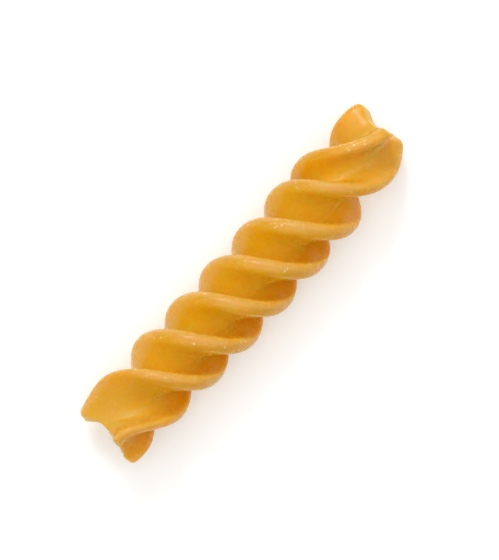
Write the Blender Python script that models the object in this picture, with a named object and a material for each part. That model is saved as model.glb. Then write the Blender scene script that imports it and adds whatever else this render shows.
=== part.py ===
"""One dry fusillo: three blades round a slim core, twisted right-handed, with hollow cut ends.

Metres, +Z up, the piece lies along X on z = 0. The blades twist evenly in the middle, and toward
both ends each flops a little its own way.
"""
import math

import bmesh
import bpy
from mathutils import Vector

MM = 0.001

# whole piece
LENGTH = 43.0 * MM              # tip to tip along the axis
BLADES = 3
PITCH = 15.2 * MM               # one whole turn in the middle of the piece
PHASE = -30.7                   # degrees, turn of the first blade at mid length
TAPER = 0.028                   # share by which the blades grow from mid length to the upper end
BOW = 0.77 * MM                 # the ends lie this far to the side of the middle
FLAT = 0.10 * MM                # depth of the flats worn on the rims that touch the table

# blade section: values at mid length, at the upper end and at the lower end
BLADE_RADIUS = 4.51 * MM        # axis to rim
NODES = 0.3, 0.5, 0.7, 0.9      # shares of the radius at which the half walls are given
# half thickness of the wall in mm, on the side ahead in the turn and on the side behind
FRONT_HALF = (1.19, 1.08, 1.11, 1.13), (0.76, 0.76, 0.83, 0.83), (0.86, 0.86, 0.65, 0.65)
BACK_HALF = (0.85, 1.00, 1.13, 0.92), (0.79, 0.79, 0.68, 0.68), (0.81, 0.81, 0.82, 0.82)
RIM_DEPTH = 1.12 * MM, 0.78 * MM, 0.90 * MM         # radial depth of the rounded rim
FRONT_ROUND = 0.91, 1.0, 1.0    # 1 is an ellipse, less is squarer, more is keener
BACK_ROUND = 1.27, 1.0, 1.0
VALLEY_RADIUS = 1.28 * MM, 1.54 * MM, 1.68 * MM     # rounding between two blades a third of a turn apart
EASE_TURNS = 20                 # how often the outline's hollows are eased
EASE_FROM, EASE_TO = 0.78, 1.0  # shares of the radius between which the easing fades out
LEAD = 35.0, -11.9, 39.5        # degrees, how far the root lies ahead of the rim in the turn
LEAD_MORE = 105.7, 25.2, -4.8   # and degrees more that gather near the root
UPPER_SECTION = 6.5 * MM, 17.5 * MM     # distances from mid length between which the section changes
LOWER_SECTION = 10.2 * MM, 18.4 * MM
UPPER_LEADS = 7.1 * MM, 18.0 * MM       # and between which the lead changes
LOWER_LEADS = 10.5 * MM, 20.7 * MM

# ends
UPPER_TURN, LOWER_TURN = 13.0, 4.0      # degrees that the blades turn with the change of section
DRIFT_START = 6.0 * MM          # distance from mid length where the blades begin to flop
UPPER_DRIFT = ((-42.0, -65.0, 24.0), (-207.0, 672.0, -567.0), (383.0, -864.0, 398.0))
LOWER_DRIFT = ((61.0, -185.0, 239.0), (110.0, -344.0, 278.0), (-9.0, 29.0, 63.0))
UPPER_SHRINK = 0.19, 0.21, 0.25         # share of the radius that each blade loses
LOWER_SHRINK = 0.10, 0.0, 0.10
CUP_LENGTH = 4.0 * MM           # length over which an end grows hollow
UPPER_CUP = (0.64 * MM, 1.04 * MM, 0.39 * MM)   # how far each blade's tip reaches past the core
LOWER_CUP = (0.34 * MM, 0.67 * MM, 1.02 * MM)
CUP_FROM, CUP_TO = 0.15, 0.9    # shares of the radius between which the hollow rises to the tips
CORNER_LENGTH = 1.0 * MM        # rounding of the tips' outer corners, along the axis
CORNER_DROP = 0.11              # and the share of the radius that it takes
EDGE_ROUND = 0.25 * MM          # rounding of the cut edges

# fineness
STATIONS = 100
END_GATHER = 0.35               # 0 spaces the stations evenly, more gathers them at the ends
ARC_STEPS = 6
FLANK_STEPS = 9
RIM_STEPS = 12
KEPT = 3                        # every third point of the outline is kept
EDGE_STEPS = 3

HALF = LENGTH / 2
GAP = 2 * math.pi / BLADES


def clamp(value, low=0.0, high=1.0):
    return max(low, min(high, value))


def smooth(value, start, end):
    k = clamp((value - start) / (end - start))
    return k * k * (3 - 2 * k)


def between(values, upper, lower):
    """A size at a station, from its values at mid length, at the upper end and at the lower end."""
    middle, at_upper, at_lower = values
    return middle + (at_upper - middle) * upper + (at_lower - middle) * lower


def section_shares(s):
    return smooth(s, *UPPER_SECTION), smooth(-s, *LOWER_SECTION)


def end_shares(s):
    """How far a station lies into the upper and the lower end zone, each from 0 to 1."""
    span = HALF - DRIFT_START
    return clamp((s - DRIFT_START) / span), clamp((-s - DRIFT_START) / span)


def blade_angle(blade, s):
    """The turn of a blade's rim, in radians, rising toward the upper end."""
    upper, lower = end_shares(s)
    turn = PHASE + between((0.0, UPPER_TURN, LOWER_TURN), *section_shares(s))
    for power, (up, low) in enumerate(zip(UPPER_DRIFT[blade], LOWER_DRIFT[blade]), start=2):
        turn += up * upper**power + low * lower**power
    return math.radians(turn) + 2 * math.pi * s / PITCH + blade * GAP


def root_lead(s):
    """How far the root leads the rim: the even part and the part that gathers near the root."""
    shares = smooth(s, *UPPER_LEADS), smooth(-s, *LOWER_LEADS)
    return math.radians(between(LEAD, *shares)), math.radians(between(LEAD_MORE, *shares))


def edge_inset(s):
    """How far the outline lies inside itself close to a cut, which rounds the cut's edges."""
    c = clamp((abs(s) - (HALF - EDGE_ROUND)) / EDGE_ROUND)
    return EDGE_ROUND * (1 - math.sqrt(1 - c * c))


def twist_rate(blade, s):
    step = LENGTH / 2000
    return (blade_angle(blade, s + step) - blade_angle(blade, s - step)) / (2 * step)


def rim_radius(blade, s):
    upper, lower = end_shares(s)
    lost = UPPER_SHRINK[blade] * upper**3 + LOWER_SHRINK[blade] * lower**3
    return BLADE_RADIUS * (1 + TAPER * s / HALF - lost)


def through(values, q):
    """A smooth curve through the values given at NODES."""
    total = 0.0
    for i, value in enumerate(values):
        for j, node in enumerate(NODES):
            if j != i:
                value *= (q - node) / (NODES[i] - node)
        total += value
    return total


class Side:
    """One side of the blades at a station."""

    def __init__(self, s, halves, rounds):
        shares = section_shares(s)
        self.halves = [between(values, *shares) * MM for values in zip(*halves)]
        self.round = between(rounds, *shares)
        self.depth = between(RIM_DEPTH, *shares)
        self.valley = between(VALLEY_RADIUS, *shares)

    def half(self, x, rate, radius, inset):
        """The width across the axis at distance x out: a slanted wall of even thickness looks wider."""
        q = clamp(x / radius, NODES[0], NODES[-1])
        return through(self.halves, q) * math.sqrt(1 + (x * rate) ** 2) - inset


def half_outline(side, radius, rate, root, half_gap, inset):
    """One side of a blade from mid valley to the crest: (distance out, distance to the side)."""
    rounding = side.valley * half_gap / (GAP / 2)
    centre = (rounding + root) / math.sin(half_gap)
    points = []
    for i in range(ARC_STEPS + 1):
        a = math.pi + half_gap + (math.pi / 2 - half_gap) * i / ARC_STEPS
        points.append((centre * math.cos(half_gap) + rounding * math.cos(a),
                       centre * math.sin(half_gap) + rounding * math.sin(a)))
    start, shoulder = points[-1][0], radius - side.depth
    step_in = points[-1][1] - side.half(start, rate, radius, inset)
    for i in range(1, FLANK_STEPS + 1):
        k = i / FLANK_STEPS
        x = start + (shoulder - start) * k
        points.append((x, side.half(x, rate, radius, inset) + step_in * (1 - k) ** 2))
    widest = points[-1][1]
    for i in range(1, RIM_STEPS + 1):
        a = math.pi / 2 * i / RIM_STEPS
        points.append((shoulder + side.depth * math.sin(a)**side.round,
                       widest * clamp(math.cos(a))**side.round))
    return points


def eased(points, radius):
    """The closed outline with its hollows rounded further and its rims kept."""
    for turn in range(EASE_TURNS):
        out = []
        for i, (x, y) in enumerate(points):
            (x0, y0), (x1, y1) = points[i - 1], points[(i + 1) % len(points)]
            k = 0.5 * (1 - smooth(math.hypot(x, y) / radius, EASE_FROM, EASE_TO))
            out.append((x + k * ((x0 + x1) / 2 - x), y + k * ((y0 + y1) / 2 - y)))
        points = out
    return points


def ring(s):
    """The outline at a station: points across the axis, each one's blade and share of the radius."""
    inset, (lead, lead_more) = edge_inset(s), root_lead(s)
    front, back = Side(s, FRONT_HALF, FRONT_ROUND), Side(s, BACK_HALF, BACK_ROUND)
    radii = [rim_radius(b, s) - inset for b in range(BLADES)]
    angles = [blade_angle(b, s) for b in range(BLADES)]
    rates = [twist_rate(b, s) for b in range(BLADES)]
    fronts = [front.half(front.valley, rate, radius, inset) for rate, radius in zip(rates, radii)]
    backs = [back.half(back.valley, rate, radius, inset) for rate, radius in zip(rates, radii)]
    points, shares = [], []
    for b in range(BLADES):
        before, after = (b - 1) % BLADES, (b + 1) % BLADES
        gap_before = (angles[b] - angles[before]) % (2 * math.pi)
        gap_after = (angles[after] - angles[b]) % (2 * math.pi)
        root_before, root_after = (backs[b] + fronts[before]) / 2, (fronts[b] + backs[after]) / 2
        first = half_outline(back, radii[b], rates[b], root_before, gap_before / 2, inset)
        second = half_outline(front, radii[b], rates[b], root_after, gap_after / 2, inset)
        for x, y in [(x, -y) for x, y in first] + second[-2:0:-1]:
            r = math.hypot(x, y)
            q = clamp(r / radii[b])
            turned = angles[b] + math.atan2(y, x) + lead * (1 - q) + lead_more * (1 - q)**2
            points.append((r * math.cos(turned), r * math.sin(turned)))
            shares.append((b, q))
    return eased(points, max(radii)), shares


def placed(s, point, blade, q):
    """A point of the ring in space, with the hollow end, the rounded corners and the bow."""
    cups = UPPER_CUP if s > 0 else LOWER_CUP
    near = clamp((abs(s) - (HALF - CUP_LENGTH)) / CUP_LENGTH)
    recess = max(cups) - cups[blade] * smooth(q, CUP_FROM, CUP_TO)
    along = s - math.copysign(recess * near**1.5, s)
    corner = clamp((abs(s) - (HALF - CORNER_LENGTH)) / CORNER_LENGTH)
    drawn = 1 - CORNER_DROP * (1 - math.sqrt(1 - corner**2)) * q**4
    across = point[0] * drawn
    u = along / HALF
    lean = 2 * BOW * u / HALF
    height = BLADE_RADIUS * TAPER * u - point[1] * drawn
    return Vector((along + lean * across, BOW * u**2 - across, height))


def stations():
    body = HALF - EDGE_ROUND
    out = []
    for i in range(STATIONS):
        t = 2 * i / (STATIONS - 1) - 1
        gathered = math.sin(t * math.pi / 2)
        out.append(body * (t + (gathered - t) * END_GATHER))
    turns = [math.pi / 2 * i / EDGE_STEPS for i in range(1, EDGE_STEPS + 1)]
    rounded = [body + EDGE_ROUND * math.sin(a) for a in turns]
    return [-s for s in reversed(rounded)] + out + rounded


def cap_faces(row, centre):
    """An end: a triangle at the core and strips across each blade."""
    faces = []
    per = len(row) // BLADES
    for b in range(BLADES):
        loop = [row[(b * per + i) % len(row)] for i in range(per + 1)]
        faces.append((centre, loop[0], loop[-1]))
        i, j = 0, per
        while j - i > 2:
            faces.append((loop[i], loop[i + 1], loop[j - 1], loop[j]))
            i, j = i + 1, j - 1
        faces.append((loop[i], loop[i + 1], loop[j]))
    return faces


def fusillo_mesh():
    bm = bmesh.new()
    rows = []
    for s in stations():
        points = [placed(s, point, blade, q) for point, (blade, q) in zip(*ring(s))]
        rows.append([bm.verts.new(p) for p in points[::KEPT]])
    for low, high in zip(rows, rows[1:]):
        for j in range(len(low)):
            k = (j + 1) % len(low)
            bm.faces.new((low[j], low[k], high[k], high[j]))
    for row, side, cups in ((rows[0], -1, LOWER_CUP), (rows[-1], 1, UPPER_CUP)):
        centre = bm.verts.new((side * (HALF - max(cups)), BOW, side * BLADE_RADIUS * TAPER))
        for face in cap_faces(row, centre):
            bm.faces.new(face)
    bmesh.ops.recalc_face_normals(bm, faces=bm.faces)

    # the flats: rims below the table's level are worn down to it, then the piece is centred on its box
    low = min(v.co.z for v in bm.verts) + FLAT
    for v in bm.verts:
        v.co.z = max(v.co.z, low) - low
    for axis in (0, 1):
        middle = (min(v.co[axis] for v in bm.verts) + max(v.co[axis] for v in bm.verts)) / 2
        for v in bm.verts:
            v.co[axis] -= middle
    bmesh.ops.triangulate(bm, faces=bm.faces)
    mesh = bpy.data.meshes.new("fusillo")
    bm.to_mesh(mesh)
    bm.free()
    return mesh


def semolina():
    material = bpy.data.materials.new("semolina")
    material.use_nodes = True
    shader = material.node_tree.nodes["Principled BSDF"]
    shader.inputs["Base Color"].default_value = (0.80, 0.43, 0.09, 1.0)
    shader.inputs["Roughness"].default_value = 0.42
    shader.inputs["Metallic"].default_value = 0.0
    return material


def main():
    for old in list(bpy.data.objects):
        bpy.data.objects.remove(old, do_unlink=True)
    mesh = fusillo_mesh()
    mesh.materials.append(semolina())
    mesh.shade_smooth()
    mesh.set_sharp_from_angle(angle=math.radians(40))
    piece = bpy.data.objects.new("fusillo", mesh)
    bpy.context.scene.collection.objects.link(piece)


main()
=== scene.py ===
"""One dry fusillo on a white table: its finished surface, the table, the camera and the light."""
import math

import bmesh
import bpy
from mathutils import Matrix, Vector, noise


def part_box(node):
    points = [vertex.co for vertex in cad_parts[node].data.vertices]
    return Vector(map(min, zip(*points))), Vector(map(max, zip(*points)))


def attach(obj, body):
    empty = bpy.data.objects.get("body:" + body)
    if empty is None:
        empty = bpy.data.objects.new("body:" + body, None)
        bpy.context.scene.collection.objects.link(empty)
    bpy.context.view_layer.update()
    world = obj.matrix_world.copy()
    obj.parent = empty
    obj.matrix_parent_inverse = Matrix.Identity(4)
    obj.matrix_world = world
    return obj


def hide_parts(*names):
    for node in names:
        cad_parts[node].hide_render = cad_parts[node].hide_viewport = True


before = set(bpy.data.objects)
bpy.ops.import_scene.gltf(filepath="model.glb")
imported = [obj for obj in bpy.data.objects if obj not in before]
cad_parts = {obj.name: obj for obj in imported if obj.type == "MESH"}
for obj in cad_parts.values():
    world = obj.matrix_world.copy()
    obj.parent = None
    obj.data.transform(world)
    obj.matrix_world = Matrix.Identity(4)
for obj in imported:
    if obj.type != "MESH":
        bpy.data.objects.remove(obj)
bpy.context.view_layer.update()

MM = 0.001

# whole piece, as in the solid. Most sizes in this group and the next two are rounded results of fits to
# the photo's one view, so none of them alone is a measured size of the pasta.
LENGTH = 43.0 * MM              # tip to tip along the axis
BLADES = 3
PITCH = 15.2 * MM               # one whole turn in the middle of the piece
PHASE = -30.7                   # degrees, turn of the first blade at mid length
TAPER = 0.028                   # share by which the blades grow from mid length to the upper end
BOW = 0.77 * MM                 # the ends lie this far to the side of the middle

# blade section: values at mid length, at the upper end and at the lower end
BLADE_RADIUS = 4.51 * MM        # axis to rim
HALF_AT = 0.3, 0.5, 0.7, 0.9    # shares of the radius at which half the wall is given
FRONT_HALF = (1.19, 1.08, 1.11, 1.13), (0.76, 0.76, 0.83, 0.83), (0.86, 0.86, 0.65, 0.65)   # mm, side ahead
BACK_HALF = (0.85, 1.00, 1.13, 0.92), (0.79, 0.79, 0.68, 0.68), (0.81, 0.81, 0.82, 0.82)    # mm, side behind
RIM_DEPTH = 1.12 * MM, 0.78 * MM, 0.90 * MM         # radial depth of the rounded rim
FRONT_ROUND = 0.91, 1.0, 1.0    # 1 is an ellipse, less is squarer, more is keener
BACK_ROUND = 1.27, 1.0, 1.0
VALLEY_RADIUS = 1.28 * MM, 1.54 * MM, 1.68 * MM     # rounding between two blades a third of a turn apart
EASE_TURNS = 20                 # how often the outline's hollows are eased
EASE_FROM, EASE_TO = 0.78, 1.0  # shares of the radius between which the easing fades out
LEAD = 35.0, -11.9, 39.5        # degrees, how far the root lies ahead of the rim in the turn
LEAD_MORE = 105.7, 25.2, -4.8   # and degrees more that gather near the root
UPPER_SECTION = 6.5 * MM, 17.5 * MM     # distances from mid length between which the section changes
LOWER_SECTION = 10.2 * MM, 18.4 * MM
UPPER_LEADS = 7.1 * MM, 18.0 * MM       # and between which the lead changes
LOWER_LEADS = 10.5 * MM, 20.7 * MM

# ends
UPPER_TURN, LOWER_TURN = 13.0, 4.0      # degrees that the blades turn with the change of section
DRIFT_START = 6.0 * MM          # distance from mid length where the blades begin to flop
# fitted: degrees that each blade has drifted at its tip, in parts that grow by the 2nd, 3rd and 4th power,
# and that partly cancel, so only their sum has a meaning
UPPER_DRIFT = (-42.0, -65.0, 24.0), (-207.0, 672.0, -567.0), (383.0, -864.0, 398.0)
LOWER_DRIFT = (61.0, -185.0, 239.0), (110.0, -344.0, 278.0), (-9.0, 29.0, 63.0)
UPPER_SHRINK = 0.19, 0.21, 0.25         # share of the radius that each blade loses
LOWER_SHRINK = 0.10, 0.0, 0.10
CUP_LENGTH = 4.0 * MM           # length over which an end grows hollow
CUP_CURVE = 1.5                 # 1 grows evenly, more grows late
UPPER_CUP = 0.64 * MM, 1.04 * MM, 0.39 * MM     # how far each blade's tip reaches past the core
LOWER_CUP = 0.34 * MM, 0.67 * MM, 1.02 * MM
CUP_FROM, CUP_TO = 0.15, 0.9    # shares of the radius between which the hollow rises to the tips
CORNER_LENGTH = 1.0 * MM        # rounding of the tips' outer corners, along the axis
CORNER_DROP = 0.11              # and the share of the radius that it takes
CORNER_CURVE = 4                # how much the rounding keeps to the rims
EDGE_ROUND = 0.25 * MM          # rounding of the cut edges
CUT_BAND = 1.4 * EDGE_ROUND     # length over which the skin turns into the rough cut

# fineness
STATIONS = 400
END_GATHER = 0.35               # 0 spaces the stations evenly, more gathers them at the ends
TWIST_STEP = LENGTH / 2000      # step over which the twist is measured
ARC_STEPS = 6
FLANK_STEPS = 9
RIM_STEPS = 12
EDGE_STEPS = 7
CAP_ACROSS = 10                 # faces across a wall on a cut
CORE_STEPS = 5

# surface relief
WAVE_SIZE, WAVE_DEPTH = 3.2 * MM, 0.050 * MM
LUMP_SIZE, LUMP_DEPTH = 0.9 * MM, 0.016 * MM
LUMP_SHIFT = Vector((7.3, 1.9, 4.4))    # sets the lumps apart from the waves
TEAR_SIZE, TEAR_DEPTH = 0.35 * MM, 0.09 * MM    # roughness of the cuts
TEAR_FADE, TEAR_FINER, TEAR_LAYERS = 0.8, 2.2, 3

HALF = LENGTH / 2
GAP = 2 * math.pi / BLADES


# shape of the spiral

def clamp(value, low=0.0, high=1.0):
    return max(low, min(high, value))


def smooth(value, start, end):
    k = clamp((value - start) / (end - start))
    return k * k * (3 - 2 * k)


def between(values, upper, lower):
    """A size at a station, from its values at mid length, at the upper end and at the lower end."""
    middle, at_upper, at_lower = values
    return middle + (at_upper - middle) * upper + (at_lower - middle) * lower


def section_shares(s):
    """How far the section at a station is that of the upper and of the lower end."""
    return smooth(s, *UPPER_SECTION), smooth(-s, *LOWER_SECTION)


def end_shares(s):
    """How far a station lies into the upper and the lower end zone, each from 0 to 1."""
    span = HALF - DRIFT_START
    return clamp((s - DRIFT_START) / span), clamp((-s - DRIFT_START) / span)


def blade_angle(blade, s):
    """The turn of a blade's rim, in radians, rising toward the upper end."""
    upper, lower = end_shares(s)
    turn = PHASE + between((0.0, UPPER_TURN, LOWER_TURN), *section_shares(s))
    for power, (up, low) in enumerate(zip(UPPER_DRIFT[blade], LOWER_DRIFT[blade]), start=2):
        turn += up * upper**power + low * lower**power
    return math.radians(turn) + 2 * math.pi * s / PITCH + blade * GAP


def root_lead(s):
    """How far the root leads the rim: the even part and the part that gathers near the root."""
    shares = smooth(s, *UPPER_LEADS), smooth(-s, *LOWER_LEADS)
    return math.radians(between(LEAD, *shares)), math.radians(between(LEAD_MORE, *shares))


def edge_inset(s):
    """How far the outline lies inside itself close to a cut, which rounds the cut's edges."""
    c = clamp((abs(s) - (HALF - EDGE_ROUND)) / EDGE_ROUND)
    return EDGE_ROUND * (1 - math.sqrt(1 - c * c))


def twist_rate(blade, s):
    """The turn of a blade for each metre along the axis."""
    return (blade_angle(blade, s + TWIST_STEP) - blade_angle(blade, s - TWIST_STEP)) / (2 * TWIST_STEP)


def rim_radius(blade, s):
    """The distance from the axis to a blade's rim, less toward the ends."""
    upper, lower = end_shares(s)
    lost = UPPER_SHRINK[blade] * upper**3 + LOWER_SHRINK[blade] * lower**3
    return BLADE_RADIUS * (1 + TAPER * s / HALF - lost)


def through(values, q):
    """A smooth curve through the values given at the shares in HALF_AT."""
    total = 0.0
    for i, value in enumerate(values):
        for j, share in enumerate(HALF_AT):
            if j != i:
                value *= (q - share) / (HALF_AT[i] - share)
        total += value
    return total


class Side:
    """One side of the blades at a station."""

    def __init__(self, s, halves, rounds):
        shares = section_shares(s)
        self.halves = [between(values, *shares) * MM for values in zip(*halves)]
        self.round = between(rounds, *shares)
        self.depth = between(RIM_DEPTH, *shares)
        self.valley = between(VALLEY_RADIUS, *shares)

    def half(self, x, rate, radius, inset):
        """Half the wall at distance x out: cut square to the axis, a slanted wall is wider."""
        q = clamp(x / radius, HALF_AT[0], HALF_AT[-1])
        return through(self.halves, q) * math.sqrt(1 + (x * rate) ** 2) - inset


def half_outline(side, radius, rate, root, half_gap, inset):
    """One side of a blade, from mid valley to the crest: (distance out, distance to the side)."""
    rounding = side.valley * half_gap / (GAP / 2)
    centre = (rounding + root) / math.sin(half_gap)
    points = []
    for i in range(ARC_STEPS + 1):
        a = math.pi + half_gap + (math.pi / 2 - half_gap) * i / ARC_STEPS
        points.append((centre * math.cos(half_gap) + rounding * math.cos(a),
                       centre * math.sin(half_gap) + rounding * math.sin(a)))
    start, shoulder = points[-1][0], radius - side.depth
    step_in = points[-1][1] - side.half(start, rate, radius, inset)
    for i in range(1, FLANK_STEPS + 1):
        k = i / FLANK_STEPS
        x = start + (shoulder - start) * k
        points.append((x, side.half(x, rate, radius, inset) + step_in * (1 - k) ** 2))
    widest = points[-1][1]
    for i in range(1, RIM_STEPS + 1):
        a = math.pi / 2 * i / RIM_STEPS
        points.append((shoulder + side.depth * math.sin(a)**side.round,
                       widest * clamp(math.cos(a))**side.round))
    return points


def eased(points, radius):
    """The closed outline with its hollows rounded further and its rims kept."""
    for _ in range(EASE_TURNS):
        out = []
        for i, (x, y) in enumerate(points):
            (x0, y0), (x1, y1) = points[i - 1], points[(i + 1) % len(points)]
            k = 0.5 * (1 - smooth(math.hypot(x, y) / radius, EASE_FROM, EASE_TO))
            out.append((x + k * ((x0 + x1) / 2 - x), y + k * ((y0 + y1) / 2 - y)))
        points = out
    return points


def ring(s):
    """The outline at a station: points across the axis, and the blade and share of its radius of each."""
    inset, (lead, lead_more) = edge_inset(s), root_lead(s)
    front, back = Side(s, FRONT_HALF, FRONT_ROUND), Side(s, BACK_HALF, BACK_ROUND)
    radii = [rim_radius(b, s) - inset for b in range(BLADES)]
    angles = [blade_angle(b, s) for b in range(BLADES)]
    rates = [twist_rate(b, s) for b in range(BLADES)]
    fronts = [front.half(front.valley, rate, radius, inset) for rate, radius in zip(rates, radii)]
    backs = [back.half(back.valley, rate, radius, inset) for rate, radius in zip(rates, radii)]
    points, owners = [], []
    for b in range(BLADES):
        before, after = (b - 1) % BLADES, (b + 1) % BLADES
        gap_before = (angles[b] - angles[before]) % (2 * math.pi)
        gap_after = (angles[after] - angles[b]) % (2 * math.pi)
        first = half_outline(back, radii[b], rates[b], (backs[b] + fronts[before]) / 2, gap_before / 2, inset)
        second = half_outline(front, radii[b], rates[b], (fronts[b] + backs[after]) / 2, gap_after / 2, inset)
        for x, y in [(x, -y) for x, y in first] + second[-2:0:-1]:
            r = math.hypot(x, y)
            q = clamp(r / radii[b])
            turned = angles[b] + math.atan2(y, x) + lead * (1 - q) + lead_more * (1 - q)**2
            points.append((r * math.cos(turned), r * math.sin(turned)))
            owners.append((b, q))
    return eased(points, max(radii)), owners


def placed(s, point, blade, q):
    """A point of the ring in space, with the hollow end, the rounded corners and the bow.

    The axis rises with the taper, so that the rims lie level.
    """
    cups = UPPER_CUP if s > 0 else LOWER_CUP
    near = clamp((abs(s) - (HALF - CUP_LENGTH)) / CUP_LENGTH)
    recess = max(cups) - cups[blade] * smooth(q, CUP_FROM, CUP_TO)
    along = s - math.copysign(recess * near**CUP_CURVE, s)
    corner = clamp((abs(s) - (HALF - CORNER_LENGTH)) / CORNER_LENGTH)
    drawn = 1 - CORNER_DROP * (1 - math.sqrt(1 - corner**2)) * q**CORNER_CURVE
    across = point[0] * drawn
    u = along / HALF
    lean = 2 * BOW * u / HALF
    height = BLADE_RADIUS * TAPER * u - point[1] * drawn
    return Vector((along + lean * across, BOW * u**2 - across, height))


def stations():
    """Places along the axis, closer together toward the ends and over the rounded edges."""
    body = HALF - EDGE_ROUND
    out = []
    for i in range(STATIONS):
        t = 2 * i / (STATIONS - 1) - 1
        gathered = math.sin(t * math.pi / 2)
        out.append(body * (t + (gathered - t) * END_GATHER))
    rounded = [body + EDGE_ROUND * math.sin(math.pi / 2 * i / EDGE_STEPS) for i in range(1, EDGE_STEPS + 1)]
    return [-s for s in reversed(rounded)] + out + rounded


# mesh of the spiral

def cut_marks(a, b, k):
    """The marks of a new point on a cut, between two others."""
    return a[0] * (1 - k) + b[0] * k, a[1] * (1 - k) + b[1] * k, 1.0


def cut_face(bm, row, marks, centre):
    """A cut end: a grid across each blade and a net over the core, tied to the last ring's points."""
    per_blade = len(row) // BLADES
    border = []

    def wall_row(a, b):
        """A row of points from a to b across a wall, new ones in the middle."""
        line = [a]
        for k in range(1, CAP_ACROSS):
            v = bm.verts.new(a.co.lerp(b.co, k / CAP_ACROSS))
            marks[v] = cut_marks(marks[a], marks[b], k / CAP_ACROSS)
            line.append(v)
        return line + [b]

    for b in range(BLADES):
        loop = [row[(b * per_blade + i) % len(row)] for i in range(per_blade + 1)]
        lines = [wall_row(loop[0], loop[-1])]
        i, j = 1, per_blade - 1
        while j - i >= 2:
            lines.append(wall_row(loop[i], loop[j]))
            i, j = i + 1, j - 1
        for near, far in zip(lines, lines[1:]):
            for k in range(CAP_ACROSS):
                bm.faces.new((near[k], near[k + 1], far[k + 1], far[k]))
        last, tip = lines[-1], loop[i]
        for k in range(CAP_ACROSS):
            bm.faces.new((last[k], last[k + 1], tip))
        border += lines[0][:-1]

    ring_now = border
    for step in range(1, CORE_STEPS):
        k = step / CORE_STEPS
        ring_next = []
        for v in border:
            w = bm.verts.new(v.co.lerp(centre, k))
            marks[w] = cut_marks(marks[v], (0.0, 0.0), k)
            ring_next.append(w)
        for i in range(len(border)):
            j = (i + 1) % len(border)
            bm.faces.new((ring_now[i], ring_now[j], ring_next[j], ring_next[i]))
        ring_now = ring_next
    middle = bm.verts.new(centre)
    marks[middle] = (0.0, 0.0, 1.0)
    for i in range(len(ring_now)):
        bm.faces.new((ring_now[i], ring_now[(i + 1) % len(ring_now)], middle))


def smooth_spiral(bm):
    """Makes the closed surface. Gives each point's marks: how far out, on which side, how near a cut."""
    rows, marks = [], {}
    for s in stations():
        row = []
        points, owners = ring(s)
        near_cut = smooth(abs(s), HALF - CUT_BAND, HALF)
        for i, (point, (blade, q)) in enumerate(zip(points, owners)):
            v = bm.verts.new(placed(s, point, blade, q))
            way = i * BLADES / len(points) % 1.0
            marks[v] = (1 - abs(2 * way - 1), math.sin(2 * math.pi * way), near_cut)
            row.append(v)
        rows.append(row)
    for before, after in zip(rows, rows[1:]):
        for j in range(len(before)):
            k = (j + 1) % len(before)
            bm.faces.new((before[j], before[k], after[k], after[j]))
    for row, side, cups in ((rows[0], -1, LOWER_CUP), (rows[-1], 1, UPPER_CUP)):
        centre = Vector((side * (HALF - max(cups)), BOW, side * BLADE_RADIUS * TAPER))
        cut_face(bm, row, marks, centre)
    bmesh.ops.recalc_face_normals(bm, faces=bm.faces)
    return marks


def move_to_box(bm, low, high):
    """Puts the surface in the middle of the solid's box, and its top at the top of the box."""
    for axis in (0, 1, 2):
        least = min(v.co[axis] for v in bm.verts)
        most = max(v.co[axis] for v in bm.verts)
        shift = (low[axis] + high[axis] - least - most) / 2 if axis < 2 else high[axis] - most
        for v in bm.verts:
            v.co[axis] += shift


def roughen(bm, marks, low, high):
    """Sinks soft waves and lumps into the skin, and tears into the cuts, and keeps within the box."""
    bm.normal_update()
    moved = {}
    for v in bm.verts:
        cut = marks[v][2]
        p = v.co
        wave = 0.5 + 0.5 * noise.noise(p / WAVE_SIZE)
        lump = 0.5 + 0.5 * noise.noise(p / LUMP_SIZE + LUMP_SHIFT)
        tear = 0.5 + 0.5 * noise.fractal(p / TEAR_SIZE, TEAR_FADE, TEAR_FINER, TEAR_LAYERS)
        depth = WAVE_DEPTH * wave + LUMP_DEPTH * lump + TEAR_DEPTH * cut * clamp(tear)
        moved[v] = p - v.normal * depth
    for v, p in moved.items():
        v.co = Vector(clamp(p[i], low[i], high[i]) for i in range(3))


def spiral_mesh(low, high):
    """The finished spiral inside the solid's box, with the marks as values of its points."""
    bm = bmesh.new()
    marks = smooth_spiral(bm)
    move_to_box(bm, low, high)
    roughen(bm, marks, low, high)
    in_order = [marks[v] for v in bm.verts]
    mesh = bpy.data.meshes.new("pasta_spiral")
    bm.to_mesh(mesh)
    bm.free()
    for which, name in enumerate(("rimness", "side", "cut")):
        layer = mesh.attributes.new(name, "FLOAT", "POINT")
        layer.data.foreach_set("value", [mark[which] for mark in in_order])
    mesh.shade_smooth()
    return mesh


# node trees

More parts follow.
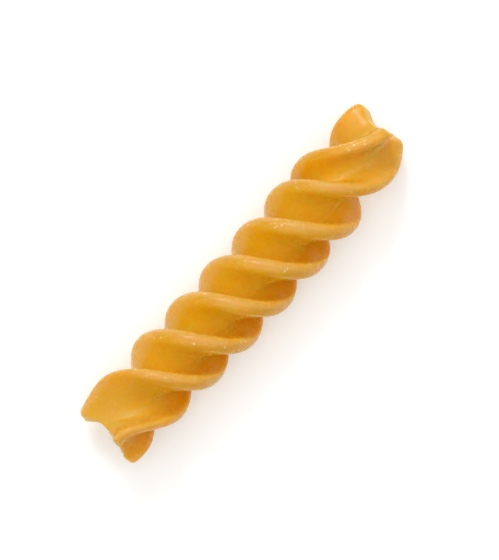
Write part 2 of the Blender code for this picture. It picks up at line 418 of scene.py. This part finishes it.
class Nodes:
    """Short calls for a node tree."""

    def __init__(self, tree):
        self.tree = tree

    def set(self, node, inputs):
        """Gives each named input of a node its value, or a link where the value comes from a node."""
        for key, value in inputs.items():
            if isinstance(value, bpy.types.NodeSocket):
                self.tree.links.new(value, node.inputs[key])
            else:
                node.inputs[key].default_value = value

    def put(self, kind, inputs=None, **settings):
        node = self.tree.nodes.new(kind)
        for key, value in settings.items():
            setattr(node, key, value)
        self.set(node, inputs or {})
        return node

    def math(self, operation, a, b=0.0):
        return self.put("ShaderNodeMath", {0: a, 1: b}, operation=operation).outputs[0]

    def attribute(self, name):
        return self.put("ShaderNodeAttribute", attribute_name=name).outputs["Fac"]

    def noise(self, place, size, layers=2.0, rough=0.5):
        node = self.put("ShaderNodeTexNoise", {"Vector": place, "Scale": 1 / size,
                                               "Detail": layers, "Roughness": rough})
        return node.outputs["Fac"]

    def span(self, value, low, high, to_low=0.0, to_high=1.0):
        """The value carried smoothly from one span to another."""
        node = self.put("ShaderNodeMapRange", {"Value": value, "From Min": low, "From Max": high,
                                               "To Min": to_low, "To Max": to_high},
                        interpolation_type="SMOOTHSTEP")
        return node.outputs["Result"]

    def mix(self, share, a, b):
        return self.put("ShaderNodeMix", {0: share, 6: a, 7: b}, data_type="RGBA").outputs[2]

    def ramp(self, value, tones):
        node = self.put("ShaderNodeValToRGB", {"Fac": value})
        stops = node.color_ramp.elements
        stops.remove(stops[1])
        for i, (position, *tone) in enumerate(tones):
            stop = stops[0] if i == 0 else stops.new(position)
            stop.position, stop.color = position, (*tone, 1)
        return node.outputs["Color"]

    def spots(self, place, cell, share, radius):
        """Round spots of about that radius in a share of the cells: 1 at a spot's middle, 0 outside."""
        cells = self.put("ShaderNodeTexVoronoi", {"Vector": place, "Scale": 1 / cell, "Randomness": 1.0})
        pick = self.put("ShaderNodeSeparateColor", {"Color": cells.outputs["Color"]})
        chosen = self.math("LESS_THAN", pick.outputs[0], share)
        size = self.math("MULTIPLY", self.math("ADD", pick.outputs[1], SPOT_LEAST), radius / cell)
        inside = self.math("SUBTRACT", 1.0, self.math("DIVIDE", cells.outputs["Distance"], size))
        return self.math("MULTIPLY", chosen, self.math("MAXIMUM", inside, 0.0))


def new_material(name):
    """A new material, its nodes and its shader."""
    material = bpy.data.materials.new(name)
    material.use_nodes = True
    return material, Nodes(material.node_tree), material.node_tree.nodes["Principled BSDF"]


# finish of the pasta

# from the valley (0) to the crest of the rim (1): place, red, green, blue. Tuned under the light below until
# the average colours matched the photo, so they hold some of its shade too. Besides the pasta's own tone they
# hold painted light and shade. Painted shade darkens the middle of the side behind, where the pocket under
# each blade lies. The side ahead is painted lighter, and the added blue at the crest is partly a painted
# highlight.
TONES_AND_PAINTED_LIGHT_BEHIND = ((0.00, 0.85, 0.49, 0.006), (0.20, 0.81, 0.435, 0.005), (0.38, 0.76, 0.37, 0.002),
                (0.50, 0.71, 0.325, 0.0), (0.62, 0.75, 0.370, 0.004), (0.72, 0.74, 0.415, 0.040),
                (0.84, 0.71, 0.415, 0.080), (1.00, 0.68, 0.385, 0.058))
TONES_AND_PAINTED_LIGHT_AHEAD = ((0.00, 0.85, 0.49, 0.006), (0.12, 0.85, 0.525, 0.018), (0.26, 0.80, 0.485, 0.014),
               (0.40, 0.79, 0.450, 0.004), (0.56, 0.81, 0.455, 0.0), (0.70, 0.77, 0.417, 0.002),
               (0.80, 0.71, 0.375, 0.006), (0.92, 0.69, 0.380, 0.026), (1.00, 0.68, 0.385, 0.058))
SIDE_CHANGE = 0.25              # how softly one side's tones turn into the other's

# other tones, each with the most that it is mixed in
# END_TONE is a duller tone toward the ends. It takes back the painted light that the tones above hold for the
# more hidden middle.
END_TONE, END_MOST = (0.72, 0.41, 0.045, 1), 0.75
CUT_TONE, CUT_MOST = (0.85, 0.57, 0.18, 1), 0.55
SPECK_TONE, SPECK_MOST = (0.96, 0.74, 0.37, 1), 0.75
BRAN_TONE, BRAN_MOST = (0.22, 0.07, 0.012, 1), 0.7

# mottles: size, layers, roughness, where in the noise the tone comes in and is full, its most, the tone
MOTTLES = ((2.6 * MM, 3.0, 0.55, 0.35, 0.70, 0.30, (0.80, 0.480, 0.045, 1)),
           (0.22 * MM, 2.0, 0.6, 0.45, 0.75, 0.16, (0.84, 0.53, 0.12, 1)))

# sizes of what changes over the skin
END_FROM, END_TO = 13 * MM, 19 * MM     # distances from mid length between which the end tone comes in
PATCH_SIZE, PATCH_SPAN = 1.9 * MM, (0.44, 0.60)     # patches that the pale specks gather in
RIM_SPAN = 0.5, 0.9, 0.25, 1.0  # from valley to rim: where the specks grow more, their least and most
SPECK_CELL, SPECK_SHARE, SPECK_RADIUS = 0.37 * MM, 0.50, 0.14 * MM
BRAN_CELL, BRAN_SHARE, BRAN_RADIUS = 2.3 * MM, 0.16, 0.11 * MM
SPOT_LEAST = 0.35               # the smallest spots have this share of the radius, the largest one more
SPECK_FILL, BRAN_FILL = 2.0, 1.4        # more gives a spot a larger full middle
FINE = 3.0, 0.6                 # layers and roughness of the noise for the gloss and the relief
GLOSS_SIZE, GLOSS_SPAN = 0.8 * MM, (0.3, 0.7)       # gloss changes over this length
SMOOTHEST, ROUGHEST, CUT_ROUGHER = 0.19, 0.34, 0.2
SKIN_SIZE, SKIN_DEPTH, SKIN_SHOWN = 0.28 * MM, 0.05 * MM, 0.25     # SKIN_SHOWN is the share of it that shows
SKIN_NOISE, SKIN_SPECK = 0.35, 0.5      # shares of the skin's relief

# light inside the pasta
REFRACTION = 1.39
GLOW_REACH = (3.0, 0.6, 0.3)    # red light spreads furthest
GLOW_SCALE = 0.8 * MM
SPECK_DULL = 0.85               # specks are floury and let little light in


def semolina_finish():
    material, n, shader = new_material("semolina_finish")
    place = n.put("ShaderNodeTexCoord").outputs["Object"]
    rimness, side, cut = n.attribute("rimness"), n.attribute("side"), n.attribute("cut")

    # the pasta's tone with painted light: deeper amber on the side behind, part of it painted shade of the
    # pockets, and paler rims, part of them a painted highlight; with soft clouds and a fine grain
    ahead, behind = n.ramp(rimness, TONES_AND_PAINTED_LIGHT_AHEAD), n.ramp(rimness, TONES_AND_PAINTED_LIGHT_BEHIND)
    colour = n.mix(n.span(side, -SIDE_CHANGE, SIDE_CHANGE), ahead, behind)
    along = n.math("ABSOLUTE", n.put("ShaderNodeSeparateXYZ", {0: place}).outputs["X"])
    # toward the ends, a duller tone that takes back the tones' painted light
    colour = n.mix(n.span(along, END_FROM, END_TO, 0.0, END_MOST), colour, END_TONE)
    for size, layers, rough, start, full, most, tone in MOTTLES:
        share = n.span(n.noise(place, size, layers, rough), start, full, 0.0, most)
        colour = n.mix(share, colour, tone)
    colour = n.mix(n.math("MULTIPLY", cut, CUT_MOST), colour, CUT_TONE)

    # pale specks in patches, mostly on the rims, and a few brown flecks of bran
    patch = n.span(n.noise(place, PATCH_SIZE), *PATCH_SPAN)
    rim = n.span(rimness, *RIM_SPAN)
    specks = n.spots(place, SPECK_CELL, SPECK_SHARE, SPECK_RADIUS)
    speck = n.math("MULTIPLY", specks, n.math("MULTIPLY", patch, rim))
    speck = n.math("MINIMUM", n.math("MULTIPLY", speck, SPECK_FILL), 1.0)
    colour = n.mix(n.math("MULTIPLY", speck, SPECK_MOST), colour, SPECK_TONE)
    bran = n.spots(place, BRAN_CELL, BRAN_SHARE, BRAN_RADIUS)
    bran = n.math("MINIMUM", n.math("MULTIPLY", bran, BRAN_FILL), BRAN_MOST)
    colour = n.mix(bran, colour, BRAN_TONE)

    # satin skin with a fine relief, rougher on the cuts
    rough = n.span(n.noise(place, GLOSS_SIZE, *FINE), *GLOSS_SPAN, SMOOTHEST, ROUGHEST)
    fine = n.math("MULTIPLY", n.noise(place, SKIN_SIZE, *FINE), SKIN_NOISE)
    height = n.math("ADD", fine, n.math("MULTIPLY", speck, SKIN_SPECK))
    bump = n.put("ShaderNodeBump", {"Strength": SKIN_SHOWN, "Distance": SKIN_DEPTH, "Height": height})

    n.set(shader, {
        "Base Color": colour,
        "Roughness": n.math("ADD", rough, n.math("MULTIPLY", cut, CUT_ROUGHER)),
        "Normal": bump.outputs["Normal"],
        "IOR": REFRACTION,
        "Subsurface Weight": n.math("SUBTRACT", 1.0, n.math("MULTIPLY", speck, SPECK_DULL)),
        "Subsurface Radius": GLOW_REACH,
        "Subsurface Scale": GLOW_SCALE,
    })
    return material


# table

TABLE = 1.2                     # middle to edge
TABLE_TONES = (0.90, 0.90, 0.90, 1), (0.93, 0.93, 0.93, 1)
TABLE_CLOUD = 40 * MM
TABLE_GLOW = 0.22               # keeps the white ground white in the soft light


def table_finish():
    material, n, shader = new_material("table_finish")
    place = n.put("ShaderNodeTexCoord").outputs["Object"]
    n.set(shader, {
        "Base Color": n.mix(n.noise(place, TABLE_CLOUD), *TABLE_TONES),
        "Roughness": 0.8,
        "Specular IOR Level": 0.2,
        "Emission Color": (1.0, 1.0, 1.0, 1.0),
        "Emission Strength": TABLE_GLOW,
    })
    return material


def table_mesh():
    mesh = bpy.data.meshes.new("table")
    corners = [(-TABLE, -TABLE, 0), (TABLE, -TABLE, 0), (TABLE, TABLE, 0), (-TABLE, TABLE, 0)]
    mesh.from_pydata(corners, [], [(0, 1, 2, 3)])
    return mesh


# camera: straight down, turned so that the piece rises to the upper right as in the photo

FRAME_W, FRAME_H = 499, 560     # the photo's width and height in pixels
PX_PER_MM = 9.89                # scale of the photo at the piece's middle
PIECE_AT = (247.5, 284.0)       # where the centre of the piece's box lies in the photo
AXIS_RISE = 47.88               # degrees from the photo's right to +X
DISTANCE = 0.60                 # camera to the middle of the piece
SENSOR = 36.0                   # mm
NEAREST, FURTHEST = 0.01, 10.0  # what the camera sees lies between
TURN = Matrix.Rotation(-math.radians(AXIS_RISE), 4, "Z")
RIGHT, UP = TURN @ Vector((1, 0, 0)), TURN @ Vector((0, 1, 0))


def photo_camera(low, high):
    """The camera over the table, with the middle of the box where the photo has the piece."""
    lens = bpy.data.cameras.new("camera")
    lens.sensor_width = SENSOR
    lens.lens = DISTANCE * SENSOR / (FRAME_H / PX_PER_MM * MM)
    lens.clip_start, lens.clip_end = NEAREST, FURTHEST
    camera = bpy.data.objects.new("camera", lens)
    off_right = (PIECE_AT[0] - FRAME_W / 2) / PX_PER_MM * MM
    off_up = (FRAME_H / 2 - PIECE_AT[1]) / PX_PER_MM * MM
    spot = -(RIGHT * off_right + UP * off_up)
    height = (low.z + high.z) / 2 + DISTANCE
    camera.matrix_world = Matrix.Translation((spot.x, spot.y, height)) @ TURN
    return camera


# light

# soft boxes, set after a fit to the photo's shading: degrees from the photo's right, degrees above the table,
# strength, focus
SKY = ((0, 90, 1.65, 6), (0, 55, 0.45, 6), (60, 50, 0.40, 6), (120, 50, 0.40, 6), (180, 55, 0.45, 6),
       (300, 55, 0.35, 6), (105, 42, 17.0, 110))


def photo_direction(azimuth, rise):
    """A direction given in degrees from the photo's right and above the table."""
    a, e = math.radians(azimuth), math.radians(rise)
    level = RIGHT * (math.cos(a) * math.cos(e)) + UP * (math.sin(a) * math.cos(e))
    return (level + Vector((0, 0, math.sin(e)))).normalized()


def studio_light():
    """A world that is bright toward each soft box and fades out around it."""
    world = bpy.data.worlds.new("world")
    world.use_nodes = True
    n = Nodes(world.node_tree)
    toward = n.put("ShaderNodeTexCoord").outputs["Generated"]
    total = None
    for azimuth, rise, strength, focus in SKY:
        facing = n.put("ShaderNodeVectorMath", {0: toward, 1: photo_direction(azimuth, rise)},
                       operation="DOT_PRODUCT")
        front = n.math("MAXIMUM", facing.outputs["Value"], 0.0)
        glow = n.math("MULTIPLY", n.math("POWER", front, focus), strength)
        total = n.math("ADD", glow, total) if total else glow
    n.set(world.node_tree.nodes["Background"], {"Color": (1.0, 1.0, 1.0, 1.0), "Strength": total})
    return world


# the scene

def add(name, mesh, material):
    """A new piece in the scene, with its finish."""
    piece = bpy.data.objects.new(name, mesh)
    bpy.context.scene.collection.objects.link(piece)
    mesh.materials.append(material)
    return piece


low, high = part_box("fusillo")
spiral = add("pasta_spiral", spiral_mesh(low, high), semolina_finish())
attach(spiral, "root")
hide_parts("fusillo")

table = add("table", table_mesh(), table_finish())

camera = photo_camera(low, high)
bpy.context.scene.collection.objects.link(camera)
bpy.context.scene.camera = camera
bpy.context.scene.world = studio_light()
bpy.context.scene.view_settings.view_transform = "Standard"
